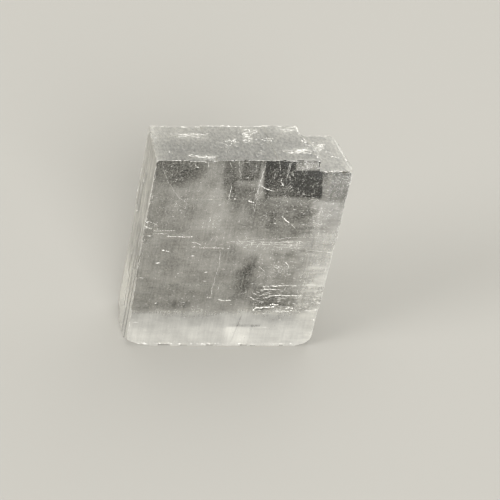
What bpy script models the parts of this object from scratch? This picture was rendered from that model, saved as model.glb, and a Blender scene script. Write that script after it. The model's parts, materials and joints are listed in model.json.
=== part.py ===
"""A cleavage rhomb of clear calcite (Iceland spar), one solid crystal standing on a narrow face.

Calcite splits along three planes, so every flat face, ledge and chip here follows the same three
edge directions. Places are given in crystal coordinates (across, down, back): millimetres along
those edges, counted from the polar corner, where three obtuse face corners meet at the top left of
the front face. The row frame is in metres with +Z up, the front face towards -Y and the origin at
the bottom centre of the bounding box.
"""

import math
import random

import bmesh
import bpy
from mathutils import Matrix, Vector

MM = 0.001

# Driving dimensions, in millimetres along the three cleavage edges.
ACROSS = 45.0  # left to right along the front face
DOWN = 46.2  # down the sloping front face
BACK = 18.1  # front to back
FACE_ANGLE = math.radians(101.9)  # the obtuse corner of every calcite cleavage face

# The layer that has split off the top, right of a curved riser.
STEP_DROP = 2.5
RISER_BRINK = ((36.9, 0.0), (36.9, 3.2), (36.6, 5.4), (36.2, 8.2), (35.5, 11.4), (35.3, 15.0), (35.6, 18.1))
RISER_FALL, RISER_SPREAD = 0.6, 0.36  # the riser is hollow: most of its fall comes before its spread
RISER_FOOT = ((37.2, 0.0), (38.2, 3.0), (39.2, 7.8), (38.7, 12.0), (38.1, 15.2), (37.4, 18.1))

# Broad cleavage ledges: a layer of each box's thickness has come off one face.
# Each entry is (low corner, high corner); OUT and -OUT mean past the crystal's surface.
OUT = 90.0
FACE_LEDGES = {
    "back_lower": ((-OUT, 16.8, BACK - 0.45), (33.5, OUT, OUT)),
    "back_lower_right": ((33.0, 16.8, BACK - 0.7), (OUT, OUT, OUT)),
    "back_foot": ((9.0, 38.6, BACK - 0.95), (27.0, OUT, OUT)),
    "back_upper_left": ((-OUT, -OUT, BACK - 0.25), (7.6, 11.5, OUT)),
    "right_middle": ((ACROSS - 0.2, 11.6, -OUT), (OUT, OUT, OUT)),
    "right_lower": ((ACROSS - 0.42, 25.2, -OUT), (OUT, OUT, OUT)),
    "right_foot": ((ACROSS - 0.62, 36.4, -OUT), (OUT, OUT, OUT)),
    "right_rear": ((ACROSS - 0.9, 6.0, 13.9), (OUT, OUT, OUT)),
    "left_rear": ((-OUT, -OUT, 14.8), (0.32, OUT, OUT)),
    "left_rear_low": ((-OUT, 19.0, 12.1), (0.5, OUT, OUT)),
    "left_middle": ((-OUT, 7.5, 8.0), (0.22, 33.0, 10.3)),
    "left_front": ((-OUT, 28.5, -OUT), (0.3, OUT, 5.2)),
    "left_front_low": ((-OUT, 37.0, -OUT), (0.55, OUT, 2.9)),
    "top_middle": ((17.9, -OUT, 0.6), (27.5, 0.14, OUT)),
    "top_rear": ((4.4, -OUT, 13.6), (12.6, 0.28, OUT)),
    "top_front": ((7.6, -OUT, -OUT), (13.6, 0.22, 2.2)),
    "top_brink": ((29.2, -OUT, -OUT), (OUT, 0.14, 5.2)),
    "front_mouth": ((-OUT, 15.0, -OUT), (2.2, 18.2, 0.35)),
    "front_right": ((37.4, 20.6, -OUT), (OUT, 21.9, 0.2)),
    "bottom_front_nick": ((8.3, DOWN - 0.45, -OUT), (11.0, OUT, 0.9)),
    "bottom_rear": ((29.0, DOWN - 0.35, 16.6), (38.5, OUT, OUT)),
}

# Worn corners. Each facet is given by how far it reaches along the three edges from the corner.
WORN_CORNERS = {
    (0.0, DOWN, 0.0): ((6.6, 0.9, 1.5), (4.9, 1.7, 2.9), (2.8, 2.1, 4.0), (1.5, 3.2, 2.4)),
    (ACROSS, DOWN, 0.0): ((4.2, 1.3, 2.2), (2.6, 2.6, 3.4), (1.4, 4.3, 3.0)),
    (0.0, DOWN, BACK): ((2.6, 1.2, 4.6), (1.8, 2.6, 3.0), (1.4, 5.2, 1.6)),
    (ACROSS, DOWN, BACK): ((3.8, 1.2, 1.6), (2.2, 2.6, 2.1), (1.6, 4.4, 1.3)),
    (ACROSS, STEP_DROP, BACK): ((1.2, 1.4, 2.8), (0.7, 2.8, 4.6)),
    (ACROSS, STEP_DROP, 0.0): ((0.6, 3.4, 1.8), (1.1, 1.1, 0.9)),
    (0.0, 0.0, BACK): ((1.5, 0.7, 0.6), (0.5, 1.3, 1.1)),
    (0.0, 0.0, 0.0): ((0.5, 0.6, 0.5),),
}

# Small rhombic chips along the edges: (start, end, how many, longest), in crystal coordinates.
CHIPPED_EDGES = (
    ((2.0, 0.0, BACK), (34.5, 0.0, BACK), 9, 3.6),
    ((2.0, 0.0, 0.0), (35.5, 0.0, 0.0), 6, 1.8),
    ((38.5, STEP_DROP, BACK), (43.0, STEP_DROP, BACK), 2, 1.5),
    ((38.0, STEP_DROP, 0.0), (43.5, STEP_DROP, 0.0), 2, 1.4),
    ((0.0, 1.5, BACK), (0.0, 40.0, BACK), 8, 3.4),
    ((0.0, 2.0, 0.0), (0.0, 27.0, 0.0), 5, 1.8),
    ((ACROSS, 7.0, 0.0), (ACROSS, 41.0, 0.0), 9, 2.6),
    ((ACROSS, 8.0, BACK), (ACROSS, 41.0, BACK), 8, 3.2),
    ((ACROSS, STEP_DROP, 3.0), (ACROSS, STEP_DROP, 14.5), 4, 1.7),
    ((0.0, 0.0, 2.0), (0.0, 0.0, 16.0), 4, 1.4),
    ((8.0, DOWN, 0.0), (41.0, DOWN, 0.0), 6, 2.2),
    ((5.0, DOWN, BACK), (40.0, DOWN, BACK), 5, 2.4),
    ((ACROSS, DOWN, 4.0), (ACROSS, DOWN, 15.5), 3, 1.6),
    ((0.0, DOWN, 4.5), (0.0, DOWN, 13.0), 3, 1.6),
)
CHIP_DEPTH = (0.22, 0.55)  # how deep a chip bites into each of the two faces
CHIP_TILT = math.radians(7.0)  # broken chips lie a little off the cleavage planes
CHIP_SEED = 17


def cleavage_axes():
    """Unit vectors along the three edges that leave the polar corner: across, down and back.

    Any two of them meet at FACE_ANGLE. The across edge is +X and the back edge lies level, so the
    top and the bottom are level too and the front face leans back.
    """
    cosine = math.cos(FACE_ANGLE)
    across = Vector((1.0, 0.0, 0.0))
    back = Vector((cosine, math.sqrt(1.0 - cosine**2), 0.0))
    down_y = (cosine - cosine**2) / back.y
    down = Vector((cosine, down_y, -math.sqrt(1.0 - cosine**2 - down_y**2)))
    return across, down, back


LATTICE = Matrix(cleavage_axes()).transposed()  # crystal millimetres to straight millimetres


def place(point):
    """A point in crystal millimetres, in metres."""
    return MM * (LATTICE @ Vector(point))


def rhomb(mesh, low, high):
    """Adds to mesh a block whose sides are cleavage planes, between two crystal corners."""
    low, high = Vector(low), Vector(high)
    made = bmesh.ops.create_cube(mesh, size=1.0)["verts"]
    for vert in made:
        share = vert.co + Vector((0.5, 0.5, 0.5))
        vert.co = place(low + (high - low) * share)
    return made


def solid(name, mesh):
    """Links a finished bmesh to the scene as an object, with its faces turned outwards."""
    bmesh.ops.recalc_face_normals(mesh, faces=mesh.faces[:])
    if mesh.calc_volume(signed=True) < 0.0:
        bmesh.ops.reverse_faces(mesh, faces=mesh.faces[:])
    data = bpy.data.meshes.new(name)
    mesh.to_mesh(data)
    mesh.free()
    made = bpy.data.objects.new(name, data)
    bpy.context.scene.collection.objects.link(made)
    return made


def cutter(name, mesh):
    """A helper solid that only a Boolean sees."""
    made = solid(name, mesh)
    made.hide_render = True
    made.display_type = "WIRE"
    return made


def subtract(body, tool):
    """Cuts tool out of body, and leaves the cut as a live modifier."""
    cut = body.modifiers.new(tool.name, "BOOLEAN")
    cut.operation = "DIFFERENCE"
    cut.solver = "EXACT"
    cut.use_self = True
    cut.object = tool


def shave_corner(mesh, corner, reaches):
    """Cuts one flat facet off a corner, as far along each edge as reaches says."""
    corner = Vector(corner)
    centre = Vector((ACROSS, DOWN, BACK)) / 2.0
    points = []
    for axis in range(3):
        inward = 1.0 if corner[axis] < centre[axis] else -1.0
        point = corner.copy()
        point[axis] += inward * reaches[axis]
        points.append(place(point))
    normal = (points[1] - points[0]).cross(points[2] - points[0]).normalized()
    if normal.dot(place(corner) - points[0]) < 0.0:
        normal.negate()
    everything = mesh.verts[:] + mesh.edges[:] + mesh.faces[:]
    bmesh.ops.bisect_plane(mesh, geom=everything, plane_co=points[0], plane_no=normal, clear_outer=True)
    rim = [edge for edge in mesh.edges if edge.is_boundary]
    bmesh.ops.contextual_create(mesh, geom=rim)


def worn_block():
    """The whole rhomb with its corners worn into small facets."""
    mesh = bmesh.new()
    rhomb(mesh, (0.0, 0.0, 0.0), (ACROSS, DOWN, BACK))
    for corner, facets in WORN_CORNERS.items():
        for reaches in facets:
            shave_corner(mesh, corner, reaches)
    return mesh


def even_rows(line, rows=13):
    """The same broken line, read at equal steps from the front to the back."""
    made = []
    for row in range(rows):
        back = BACK * row / (rows - 1)
        after = next(i for i in range(1, len(line)) if line[i][1] >= back - 1e-6)
        start, end = line[after - 1], line[after]
        share = (back - start[1]) / (end[1] - start[1])
        made.append((start[0] + share * (end[0] - start[0]), back))
    return made


def split_layer():
    """The layer that has come off the top, with a riser that runs from its brink down to its foot."""
    margin = 3.0  # how far the cutter runs past the top, the back, the front and the right

    def outline(line, depth):
        first, last = line[0], line[-1]
        ends = ((first[0], -margin), *line, (last[0], BACK + margin))
        corners = [(across, depth, back) for across, back in ends]
        corners.append((ACROSS + margin, depth, BACK + margin))
        corners.append((ACROSS + margin, depth, -margin))
        return corners

    brink = even_rows(RISER_BRINK)
    foot = even_rows(RISER_FOOT)
    hollow = []
    for (brink_across, back), (foot_across, _) in zip(brink, foot):
        hollow.append((brink_across + RISER_SPREAD * (foot_across - brink_across), back))
    mesh = bmesh.new()
    rings = []
    for line, depth in ((brink, -margin), (brink, 0.0), (hollow, RISER_FALL * STEP_DROP), (foot, STEP_DROP)):
        rings.append([mesh.verts.new(place(corner)) for corner in outline(line, depth)])
    mesh.faces.new(rings[0])
    mesh.faces.new(rings[-1])
    for upper, lower in zip(rings, rings[1:]):
        for i, vert in enumerate(upper):
            following = (i + 1) % len(upper)
            mesh.faces.new((vert, upper[following], lower[following], lower[i]))
    return mesh


def chips():
    """Every chip along the edges, as small tilted rhombs in one cutter."""
    dice = random.Random(CHIP_SEED)
    mesh = bmesh.new()
    for start, end, count, longest in CHIPPED_EDGES:
        start, end = Vector(start), Vector(end)
        run = max(range(3), key=lambda axis: abs(end[axis] - start[axis]))
        for number in range(count):
            share = (number + dice.uniform(0.15, 0.85)) / count
            middle = start.lerp(end, share)
            half = Vector([dice.uniform(*CHIP_DEPTH) for _ in range(3)])
            half[run] = 0.5 * longest * dice.uniform(0.35, 1.0)
            made = rhomb(mesh, middle - half, middle + half)
            axis = Vector([dice.uniform(-1.0, 1.0) for _ in range(3)]).normalized()
            turn = Matrix.Rotation(dice.uniform(-CHIP_TILT, CHIP_TILT), 3, axis)
            bmesh.ops.rotate(mesh, cent=place(middle), matrix=turn, verts=made)
    return mesh


def ledge(low, high):
    """One broad layer split off a face."""
    mesh = bmesh.new()
    rhomb(mesh, low, high)
    return mesh


def clear_calcite():
    """Colourless, glassy, with a faint warm grey from the veils inside it."""
    material = bpy.data.materials.new("clear_calcite")
    material.use_nodes = True
    shader = material.node_tree.nodes["Principled BSDF"]
    shader.inputs["Base Color"].default_value = (0.72, 0.71, 0.66, 1.0)
    shader.inputs["Roughness"].default_value = 0.12
    shader.inputs["Metallic"].default_value = 0.0
    shader.inputs["IOR"].default_value = 1.6
    shader.inputs["Transmission Weight"].default_value = 0.8
    return material


def rest_on_origin(body):
    """Moves body so that the origin is the bottom centre of its evaluated bounding box."""
    bpy.context.view_layer.update()
    evaluated = body.evaluated_get(bpy.context.evaluated_depsgraph_get())
    shape = evaluated.to_mesh()
    corners = [vert.co.copy() for vert in shape.vertices]
    evaluated.to_mesh_clear()
    low = Vector([min(corner[axis] for corner in corners) for axis in range(3)])
    high = Vector([max(corner[axis] for corner in corners) for axis in range(3)])
    shift = Vector((-(low.x + high.x) / 2.0, -(low.y + high.y) / 2.0, -low.z))
    for moved in bpy.context.scene.objects:
        moved.location += shift


def main():
    for old in list(bpy.data.objects):
        bpy.data.objects.remove(old, do_unlink=True)
    crystal = solid("calcite_crystal", worn_block())
    crystal.data.materials.append(clear_calcite())
    subtract(crystal, cutter("cut_top_layer", split_layer()))
    for name, (low, high) in FACE_LEDGES.items():
        subtract(crystal, cutter("cut_" + name, ledge(low, high)))
    subtract(crystal, cutter("cut_edge_chips", chips()))
    rest_on_origin(crystal)


main()
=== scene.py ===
# %% [markdown]
# # A cleavage rhomb of clear calcite
#
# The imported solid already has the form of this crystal. The lesson gives it what the eye goes by: thin
# split sheets, clear and milky zones, and the bruised scratches, cracks and edges that catch the light.
# Calcite splits along three directions, and nearly all its marks follow them.

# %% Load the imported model
import json
import math
import random
from functools import partial

import bmesh
import bpy
from mathutils import Matrix, Vector
from mathutils.bvhtree import BVHTree

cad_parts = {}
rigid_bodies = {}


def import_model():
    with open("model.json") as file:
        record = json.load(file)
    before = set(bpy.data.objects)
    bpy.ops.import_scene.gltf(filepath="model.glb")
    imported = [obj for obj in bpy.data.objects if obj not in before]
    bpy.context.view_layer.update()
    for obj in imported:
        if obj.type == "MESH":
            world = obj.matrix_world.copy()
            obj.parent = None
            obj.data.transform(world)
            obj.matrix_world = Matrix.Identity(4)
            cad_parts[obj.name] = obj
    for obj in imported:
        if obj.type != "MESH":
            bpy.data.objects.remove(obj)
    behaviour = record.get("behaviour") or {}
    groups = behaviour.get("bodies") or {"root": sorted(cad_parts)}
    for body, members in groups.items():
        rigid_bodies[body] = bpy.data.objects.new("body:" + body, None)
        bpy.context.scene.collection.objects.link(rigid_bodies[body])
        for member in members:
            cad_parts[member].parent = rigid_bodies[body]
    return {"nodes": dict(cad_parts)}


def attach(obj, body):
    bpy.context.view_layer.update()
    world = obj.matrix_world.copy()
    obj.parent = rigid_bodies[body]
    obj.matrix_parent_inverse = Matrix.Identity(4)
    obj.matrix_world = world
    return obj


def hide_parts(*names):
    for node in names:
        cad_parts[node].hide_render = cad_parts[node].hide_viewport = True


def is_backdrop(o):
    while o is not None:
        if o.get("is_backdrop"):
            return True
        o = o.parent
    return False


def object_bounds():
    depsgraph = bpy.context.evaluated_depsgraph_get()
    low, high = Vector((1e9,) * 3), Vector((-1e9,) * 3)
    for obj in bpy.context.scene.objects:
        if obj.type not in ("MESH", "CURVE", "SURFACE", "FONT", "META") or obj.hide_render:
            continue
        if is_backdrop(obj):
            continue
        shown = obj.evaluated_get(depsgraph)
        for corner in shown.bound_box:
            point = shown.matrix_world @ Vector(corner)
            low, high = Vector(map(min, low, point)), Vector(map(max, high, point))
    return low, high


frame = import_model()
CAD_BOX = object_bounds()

MM = 0.001
packed = frame["nodes"]["calcite_crystal"]
print("packed solid:", len(packed.data.polygons), "triangles")

# %% [markdown]
# ## Crystal coordinates
#
# Three edges leave the blunt corner of a calcite rhomb, and any two of them meet at 101.9 degrees. A
# place is easiest to give as millimetres across, down and back along them. The directions could be
# typed in as measured vectors, but worked out from the one angle they stay exact. A matrix with them as
# its columns turns such a place into metres, and its inverse turns metres back.

# %% The three edge directions
FACE_ANGLE = math.radians(101.9)


def edge_directions():
    """Unit vectors along the three edges: across is +X, and back lies level."""
    cosine = math.cos(FACE_ANGLE)
    back = Vector((cosine, math.sqrt(1.0 - cosine**2), 0.0))
    down_y = (cosine - cosine**2) / back.y
    down = Vector((cosine, down_y, -math.sqrt(1.0 - cosine**2 - down_y**2)))
    return Vector((1.0, 0.0, 0.0)), down, back


WAYS = dict(zip(("across", "down", "back"), edge_directions()))
TO_METRES = Matrix(edge_directions()).transposed() * MM
TO_CRYSTAL = TO_METRES.inverted()
print("down:", [round(part, 3) for part in WAYS["down"]])

# %% The blunt corner
ACROSS, DOWN, BACK = 45.0, 46.2, 18.1  # mm
STEP_DROP = 2.5
packed_places = [TO_CRYSTAL @ vert.co for vert in packed.data.vertices]
BLUNT_CORNER = TO_METRES @ Vector([min(place[axis] for place in packed_places) for axis in range(3)])


def at(across, down, back):
    """A place given in crystal millimetres, in metres."""
    return BLUNT_CORNER + TO_METRES @ Vector((across, down, back))


print("blunt corner, mm:", [round(part / MM, 2) for part in BLUNT_CORNER])

# %% [markdown]
# ## Helpers for every step
#
# A colour picker shows sRGB values and shaders work with linear ones, so one function converts them.
# Another adds any kind of node in one line. The rest place objects and apply their modifiers.

# %% Colours and nodes
def srgb(code):
    """A hex sRGB colour as linear red, green, blue and alpha."""
    parts = [int(code[i : i + 2], 16) / 255.0 for i in (1, 3, 5)]
    return [c / 12.92 if c <= 0.04045 else ((c + 0.055) / 1.055) ** 2.4 for c in parts] + [1.0]


def set_inputs(made, inputs):
    """Gives a node's inputs, by place or by name, their values or links."""
    for key, value in inputs.items() if isinstance(inputs, dict) else enumerate(inputs):
        if isinstance(value, bpy.types.NodeSocket):
            made.id_data.links.new(value, made.inputs[key])
        else:
            made.inputs[key].default_value = value


def add_node(tree, kind, inputs=(), output=0, **settings):
    """Adds a node of a kind, or of a kind and its settings, and gives back an output."""
    if isinstance(kind, tuple):
        kind, settings = kind
    made = tree.nodes.new(kind)
    for name, value in settings.items():
        setattr(made, name, value)
    set_inputs(made, inputs)
    return made.outputs[output] if made.outputs else made


print("white in linear light:", srgb("#ffffff"))


# %% Objects
def place_object(name, data):
    """Puts a mesh, a lamp or a camera into the scene."""
    made = bpy.data.objects.new(name, data)
    bpy.context.scene.collection.objects.link(made)
    return made


def link_mesh(name, mesh, *materials):
    """Turns a finished bmesh into an object."""
    data = bpy.data.meshes.new(name)
    mesh.to_mesh(data)
    mesh.free()
    for material in materials:
        data.materials.append(material)
    return place_object(name, data)


def apply_modifiers(piece):
    """Turns what the modifiers make into the piece's own mesh."""
    bpy.context.view_layer.update()
    evaluated = piece.evaluated_get(bpy.context.evaluated_depsgraph_get())
    finished = bpy.data.meshes.new_from_object(evaluated)
    piece.modifiers.clear()
    piece.data = finished


# %% [markdown]
# ## The crystal body
#
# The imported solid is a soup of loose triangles. A copy of it is merged, over a distance far below the
# smallest chip, and triangles in one plane become whole faces, so that later steps find real edges.

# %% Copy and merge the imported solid
MERGE_GAP = 0.002 * MM
ONE_PLANE = math.radians(0.4)

mesh = bmesh.new()
mesh.from_mesh(packed.data)
bmesh.ops.remove_doubles(mesh, verts=mesh.verts[:], dist=MERGE_GAP)
bmesh.ops.dissolve_limit(mesh, angle_limit=ONE_PLANE, verts=mesh.verts[:], edges=mesh.edges[:])
crystal = link_mesh("crystal_body", mesh)
print("merged body:", len(crystal.data.polygons), "faces")

# %% [markdown]
# ## Split sheets
#
# Calcite comes apart in thin sheets, and each leaves a low ledge with a stepped outline. Bump could
# fake the ledges, but only real ones bend what is seen through them. One Boolean takes off many thin
# blocks at once: narrow ribs on the left face, and rows with a ragged end on the back and the right.

# %% Blocks that follow the crystal
PAST = 60.0  # mm, beyond any surface
ROW_HEIGHTS = (0.5, 2.6)
split_dice = random.Random(4)


def cleavage_block(mesh, low, high):
    """Adds a block whose sides are cleavage planes, between two places in crystal mm."""
    low, high = Vector(low), Vector(high)
    for vert in bmesh.ops.create_cube(mesh, size=1.0)["verts"]:
        share = vert.co + Vector((0.5, 0.5, 0.5))
        vert.co = at(*(low + (high - low) * share))


def ragged_rows(start, end, edge, wander):
    """Rows from start to end in mm, each ending at an edge that wanders."""
    while start < end:
        tall = split_dice.uniform(*ROW_HEIGHTS)
        edge += split_dice.gauss(0.0, wander)
        yield start, min(start + tall, end), edge
        start += tall


# %% Where sheets have come off
RIBS = 13
# How deep, first and last mm down, where the sheet ends (mm across or back), and the side that is gone.
BACK_SHEETS = (
    (0.75, 27, 41, 7, "left"), (0.5, 22, 34, 13, "left"), (0.95, 34, 60, 31, "right"),
    (0.6, 28, 39, 26, "right"), (0.3, 17.5, 25, 34, "right"), (0.42, 40, 60, 17, "left"),
)
RIGHT_SHEETS = (
    (0.3, 5, 14, 3.5, "front"), (0.55, 9, 24, 14.5, "rear"), (0.4, 21, 33, 4.5, "front"),
    (0.75, 27, 60, 12, "rear"), (0.22, 35, 43, 7, "front"),
)

mesh = bmesh.new()
for _ in range(RIBS):
    top = split_dice.uniform(-1.0, 38.0)
    rear = split_dice.uniform(0.3, 17.0)
    depth = 0.06 + 0.55 * split_dice.uniform(0.1, 1.0) ** 1.5
    rib_end = (depth, top + split_dice.uniform(8.0, 40.0), rear + split_dice.uniform(0.4, 2.2))
    cleavage_block(mesh, (-PAST, top, rear), rib_end)
for depth, first, last, edge, side in BACK_SHEETS:
    for low, high, end in ragged_rows(first, last, edge, 0.9):
        left, right = (-PAST, end) if side == "left" else (end, PAST)
        cleavage_block(mesh, (left, low, BACK - depth), (right, high, PAST))
for depth, first, last, edge, side in RIGHT_SHEETS:
    for low, high, end in ragged_rows(first, last, edge, 0.6):
        front, rear = (-PAST, end) if side == "front" else (end, PAST)
        cleavage_block(mesh, (ACROSS - depth, low, front), (PAST, high, rear))
sheets = link_mesh("split_off_sheets", mesh)
print("blocks to take off:", len(sheets.data.polygons) // 6)

# %% Take them off
cut = crystal.modifiers.new("split_off", "BOOLEAN")
cut.operation = "DIFFERENCE"
cut.solver = "EXACT"
cut.use_self = True
cut.object = sheets
apply_modifiers(crystal)
bpy.data.objects.remove(sheets)
print("body after splitting:", len(crystal.data.polygons), "faces")

# %% [markdown]
# ## Clear and milky zones
#
# Veils of tiny cracks and fluid make a clear spar milky, and where there are none it shows whatever lies
# behind it. Thousands of modelled inner cracks would turn to grit at this size, so milkiness is painted
# onto each face instead, from 0 for clear to 1 for white. The clear end is painted dark, so a zone that
# lowers the milk is painted shade as well as clearer stone. Each zone is a box with its own softness on
# every side.

# %% Zones with crisp sides on the front
# Each zone: (left, right, top, bottom) in mm, how softly each side fades in mm, the change in milkiness,
# and, for a slanted zone, how far it leans left for each mm down. On the front, left and right are level
# distances from the blunt corner, and top and bottom are measured down the face.
FRONT_MILK = 0.356
CRISP_ZONES = {
    # The window and every zone that lowers the milk are painted shade: clear stone tinted dark.
    "window": ((24.2, 37.25, -3, 8.9), (1.2, 0.35, 1, 1.6), -0.345),
    "under_edge": ((24.8, 31, 0.2, 2), (0.5, 0.8, 0.4, 1.2), -0.08),
    # Painted shade: darker at the right end of the window.
    "window_right_dark": ((37, 38.2, 1, 4.5), (0.3, 1.4, 0.8, 2.5), -0.14),
    "window_haze": ((25.2, 31, 5.8, 9.6), (2, 5, 3, 1.4), 0.11),
    "window_corner": ((30.5, 37.25, 2.4, 9.05), (4, 0.3, 1, 0.3), -0.05),
    "riser_behind": ((31.2, 36.5, 0.35, 2.35), (0.9, 0.2, 0.5, 0.25), 0.28),
    "scratch_haze": ((23.8, 24.9, -2, 12.5), (0.7, 0.7, 1, 3), 0.06, 0.206),
    "right_strip": ((37.3, 50, 2, 9.6), (0.4, 1, 0.6, 3.4), -0.08),
    "right_block": ((37.2, 50, 12.5, 16.5), (3.2, 1, 3.2, 5), 0.06, 0.1),
    "white_block": ((15.3, 20.3, 41.2, 45.2), (1.6, 2.4, 0.5, 2), 0.16),
    # Painted shade: thin dark lines under the main crack and along the dash on the foot.
    "shade_below_crack": ((22.6, 25.6, 36.4, 36.7), (0.6, 1.5, 0.25, 0.25), -0.16),
    "dash": ((16, 23.4, 40.4, 41.1), (2.5, 0.8, 0.6, 0.4), -0.08),
    "dash_dark": ((21, 23.2, 40.75, 41.15), (0.8, 0.5, 0.25, 0.25), -0.14),
    "foot_crack": ((33.65, 33.9, 38.2, 45), (0.25, 0.25, 1, 1), -0.12, 0.39),
    "foot": ((-20, 60, 40.5, 60), (1, 1, 7, 1), 0.2),
}
print("crisp zones:", len(CRISP_ZONES))

# %% Zones with soft sides on the front
# Here too a zone that lowers the milk is painted shade, as if a dark ground showed through.
SOFT_ZONES = {
    "corner_clear": ((-3, 9.5, -3, 5), (3, 4, 1, 4.5), -0.16),
    "corner_deep": ((2.5, 7, 1, 5), (3, 3, 2, 2.5), -0.05),
    "upper_strip": ((7.5, 26, -3, 6.5), (5, 1, 1, 3.5), -0.06),
    "upper_left": ((-4, 7.5, 8, 17), (2, 4, 4, 4), -0.03),
    "middle_clear": ((15.3, 18.3, -3, 7), (1.5, 1.8, 1, 6), -0.15, 0.05),
    "beside_scratch": ((19.3, 24, -3, 4.3), (1.5, 1, 1, 1.4), -0.15, 0.15),
    "beside_haze": ((20, 23.5, 4, 6.3), (1.5, 0.8, 1.2, 1.5), 0.05),
    "scratch_left": ((18, 24, 6, 12), (3, 1.5, 2, 3), -0.12, 0.15),
    "column": ((8.4, 15.2, 4.5, 21), (4, 4.5, 6, 8), 0.05, 0.02),
    "column_top": ((11, 14.2, -2, 6), (2, 2, 1, 4), 0.04),
    "band": ((16, 33, 19.1, 20.9), (5, 7, 1.6, 2), 0.07),
    "below_band": ((19, 26, 20.5, 25), (2.5, 2.5, 2, 3), 0.08),
    "below_window": ((21, 34.5, 9, 17.8), (6, 4, 2.5, 2.5), -0.09),
    # Painted shade: dark streaks where the clear stone is tinted dark.
    "dark_streak_area": ((46, 48.8, 10.8, 14.5), (1.8, 1.8, 1.6, 1.6), -0.11, 1.1),
    "dark_streak_left": ((31.2, 33.3, 12.6, 16), (1.4, 1.4, 1.6, 1.6), -0.11, 0.45),
    "dark_streak_low": ((29.3, 31.8, 21.9, 24), (1, 1.4, 0.8, 1.2), -0.12),
    "upright_shade": ((27.6, 31.2, 22, 33.2), (3.6, 3.2, 3.6, 3.6), -0.19, 0.33),
    "behind_cracks": ((21.8, 31.4, 30.8, 35.8), (2.5, 2.5, 2, 1.6), -0.13),
    "edge_clear": ((-4.8, -2.6, 18.5, 24), (0.8, 1.2, 1.5, 1.5), -0.1, 0.2),
    "low_left": ((-8, 10, 30.5, 36.6), (3, 6, 5, 2.5), -0.03),
    # Painted shade: a darker patch low on the left.
    "low_dark_patch": ((1.8, 7, 34.4, 36.6), (1.6, 2, 1.2, 1), -0.05),
    "right_haze": ((33.5, 50, 9.5, 60), (8, 1, 2, 1), 0.02, 0.15),
    "right_bright": ((38.8, 60, 18, 37.5), (4, 1, 6, 5), 0.12, 0.206),
    "low_shade": ((28, 33, 35.8, 37.6), (2, 2, 1.5, 2), -0.09),
    "right_glow": ((36, 50, 26.5, 31), (3, 1, 3, 4), 0.1),
    "foot_middle": ((12, 22, 37.4, 39.2), (5, 5, 1.8, 2), 0.08),
    "foot_left": ((-20, 15.5, 37.3, 60), (1, 3, 3.6, 1), 0.16),
    "foot_right": ((15, 50, 36.8, 60), (3, 1, 3.6, 1), 0.16),
    "foot_corner": ((-20, -2, 37, 60), (1, 5, 4, 1), 0.05),
}
print("soft zones:", len(SOFT_ZONES))

# %% Zones on the top
# Here left and right are mm across, and top and bottom are mm back from the front edge.
TOP_ZONES = {
    "rear": ((-2, 36, 14, 20), (2, 1, 6, 1), 0.1),
    "rear_left": ((-2, 13, 10, 20), (2, 5, 6, 1), 0.09),
    "scuff_haze": ((6.5, 13, 10.8, 14), (2.5, 2.5, 3, 1), 0.1),
    "front_left": ((4, 26, -1, 8), (4, 5, 1, 5), -0.06),
    "front_haze": ((7.5, 13.5, 0.5, 3.4), (1.5, 1.5, 0.6, 1.2), 0.06),
    "peak_haze": ((21.5, 25, 9.5, 18), (1.5, 1.8, 2, 1), 0.06),
    "right_haze": ((30, 36.5, 4, 6.6), (3, 2.5, 1.6, 2), 0.08),
    "rear_right": ((30, 36, 11, 20), (4, 1, 4, 1), 0.09),
    "step_patch": ((38.6, 40.6, 9.2, 13.5), (1, 1.2, 1.4, 1.6), 0.12),
    "step_rim": ((43.2, 50, -2, 20), (1.6, 1, 1, 1), 0.1),
    "left_rim": ((-2, 0.8, -2, 20), (1, 3.4, 1, 1), 0.16),
}
print("zones on the top:", len(TOP_ZONES))

# %% [markdown]
# ## The finish of cleaved calcite
#
# This is optical calcite, also called Iceland spar, with cleaved faces: split and never polished. They
# are flat as glass but covered in hair scratches, so the eye sees a clear body behind a faintly frosted
# skin. Its index is 1.66 for one ray and 1.49 for the other, and 1.6 stands for both. The light goes in
# by plain transmission, and the warm grey of the depth is absorption, set on the volume's own sockets.
#
# Every pattern is a noise that reads crystal millimetres, so its grain has a real size and lies along
# the edges. Three dot products turn Object coordinates into crystal millimetres, one with each row of
# the matrix from the first step.

# %% A material that knows crystal millimetres
calcite = bpy.data.materials.new("calcite_cleaved_clear")
calcite.use_nodes = True
node = partial(add_node, calcite.node_tree)

object_place = node("ShaderNodeTexCoord", output="Object")
face_direction = node("ShaderNodeTexCoord", output="Normal")
from_corner = node("ShaderNodeVectorMath", (object_place, BLUNT_CORNER), operation="SUBTRACT")
DOT = ("ShaderNodeVectorMath", {"operation": "DOT_PRODUCT"})
across_mm, down_mm, back_mm = [node(DOT, (from_corner, row), "Value") for row in TO_CRYSTAL]
metres_to_mm = (1.0 / MM, 0.0, 0.0)
level_mm = node(DOT, (from_corner, metres_to_mm), "Value")
crystal_mm = node("ShaderNodeCombineXYZ", (across_mm, down_mm, back_mm))
print("nodes so far:", len(calcite.node_tree.nodes))

# %% Grain with a real size
SMOOTH = ("ShaderNodeMapRange", {"interpolation_type": "SMOOTHSTEP"})
ADD = ("ShaderNodeMath", {"operation": "ADD"})
TIMES = ("ShaderNodeMath", {"operation": "MULTIPLY"})
TIMES_ADD = ("ShaderNodeMath", {"operation": "MULTIPLY_ADD"})


def grain(sizes, detail, roughness, output="Fac"):
    """A noise whose blotches measure the given mm across, down and back."""
    scaled = node("ShaderNodeVectorMath", (crystal_mm, sizes), operation="DIVIDE")
    settings = {"Vector": scaled, "Scale": 1.0, "Detail": detail, "Roughness": roughness}
    return node("ShaderNodeTexNoise", settings, output)


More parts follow.
